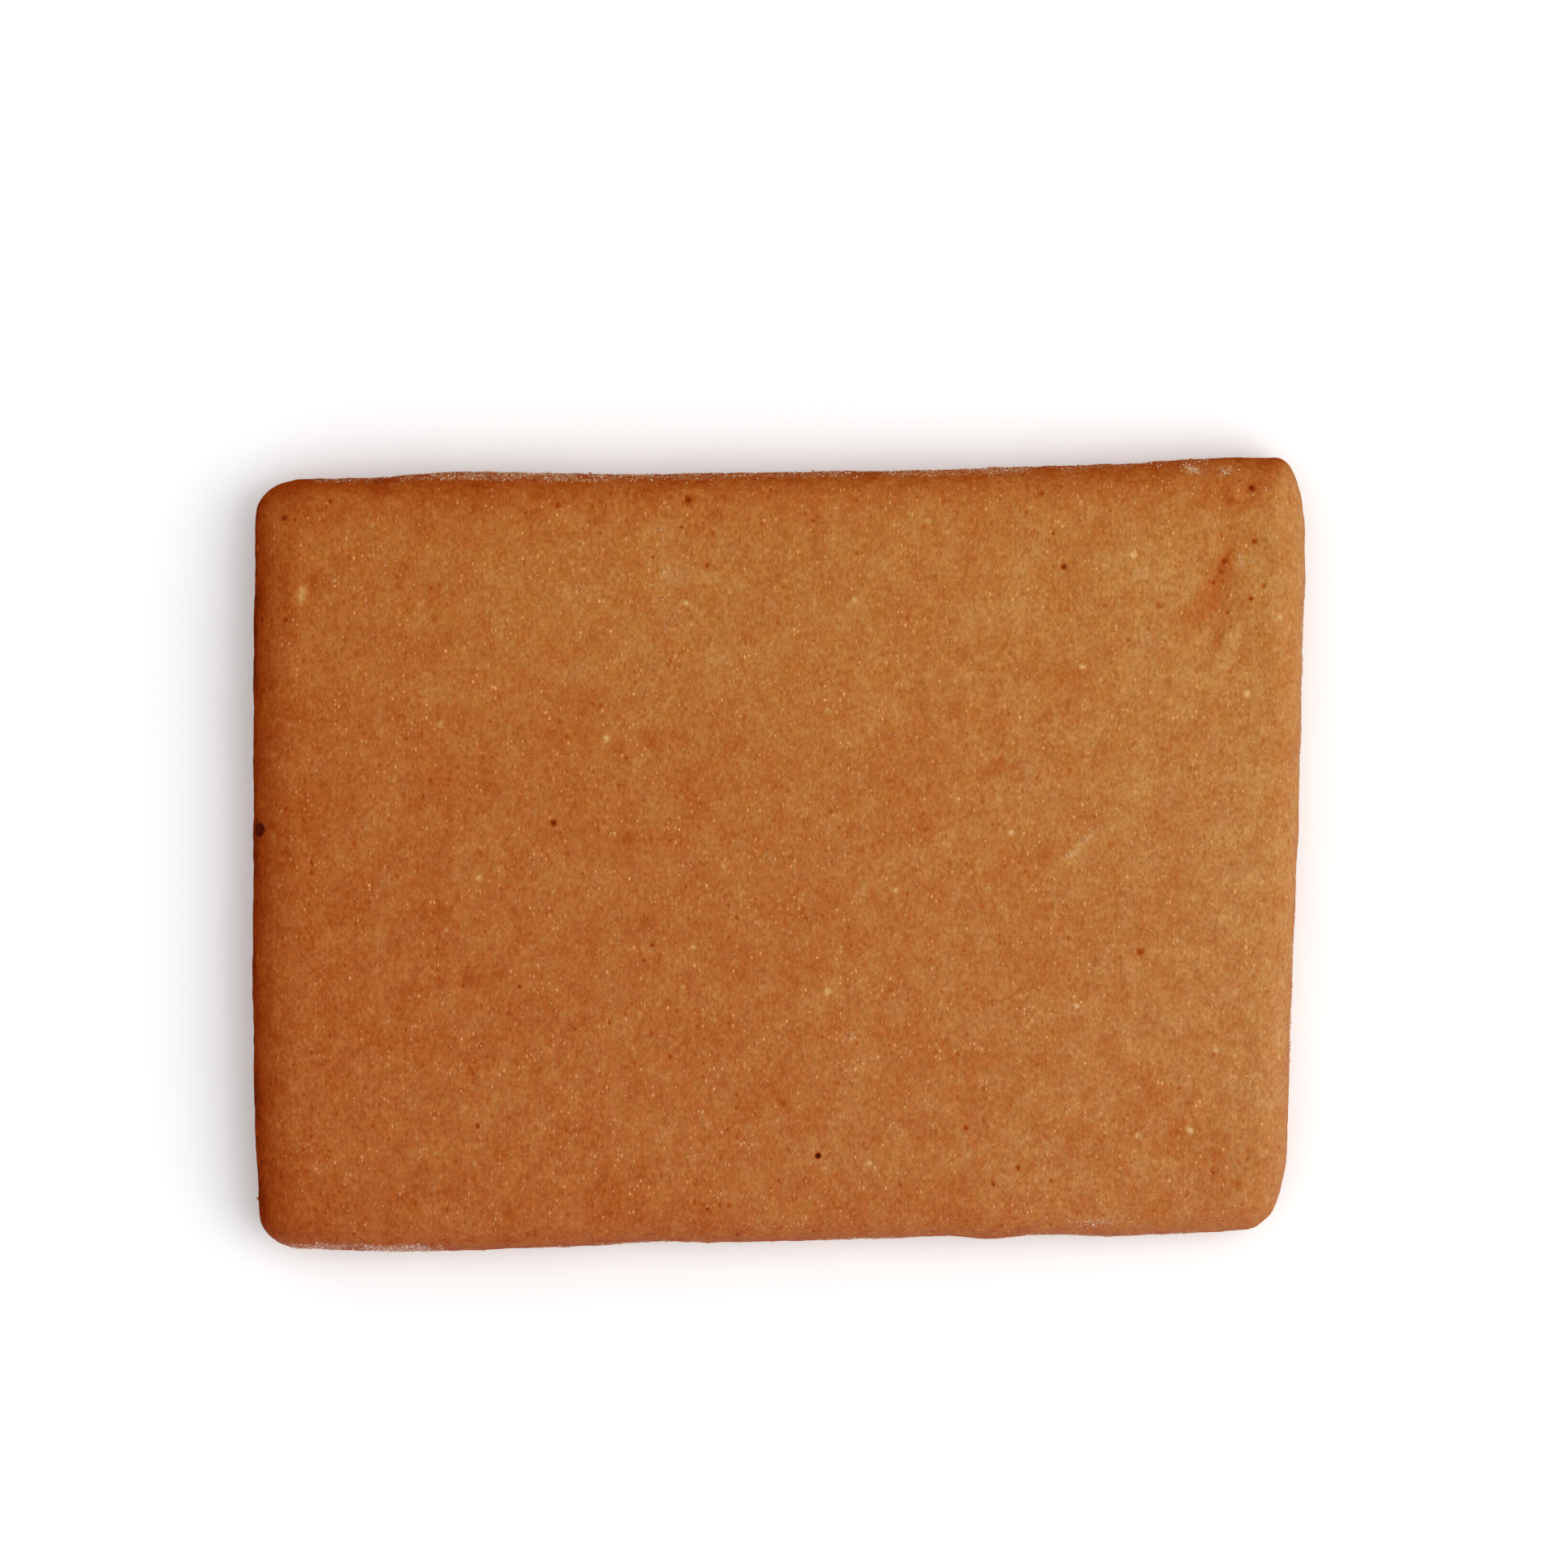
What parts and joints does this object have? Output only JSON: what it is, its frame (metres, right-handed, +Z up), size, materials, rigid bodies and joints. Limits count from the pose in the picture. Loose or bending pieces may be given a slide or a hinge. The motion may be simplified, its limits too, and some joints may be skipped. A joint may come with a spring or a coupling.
{
  "type": "lebkuchen",
  "caption": "Plain rectangular lebkuchen, a flat slab of baked gingerbread with rounded corners, a browned rounded shoulder and a flat underside.",
  "frame": {"origin": "middle of the slab's footprint, on the surface that it lies on", "axes": "+X along the long side, +Y along the short side, +Z up out of the browned top"},
  "size_m": [0.0999, 0.0754, 0.0093],
  "materials": {
    "crust": "matte"
  },
  "bodies": {
    "root": {"lebkuchen": "crust"}
  },
  "joints": []
}
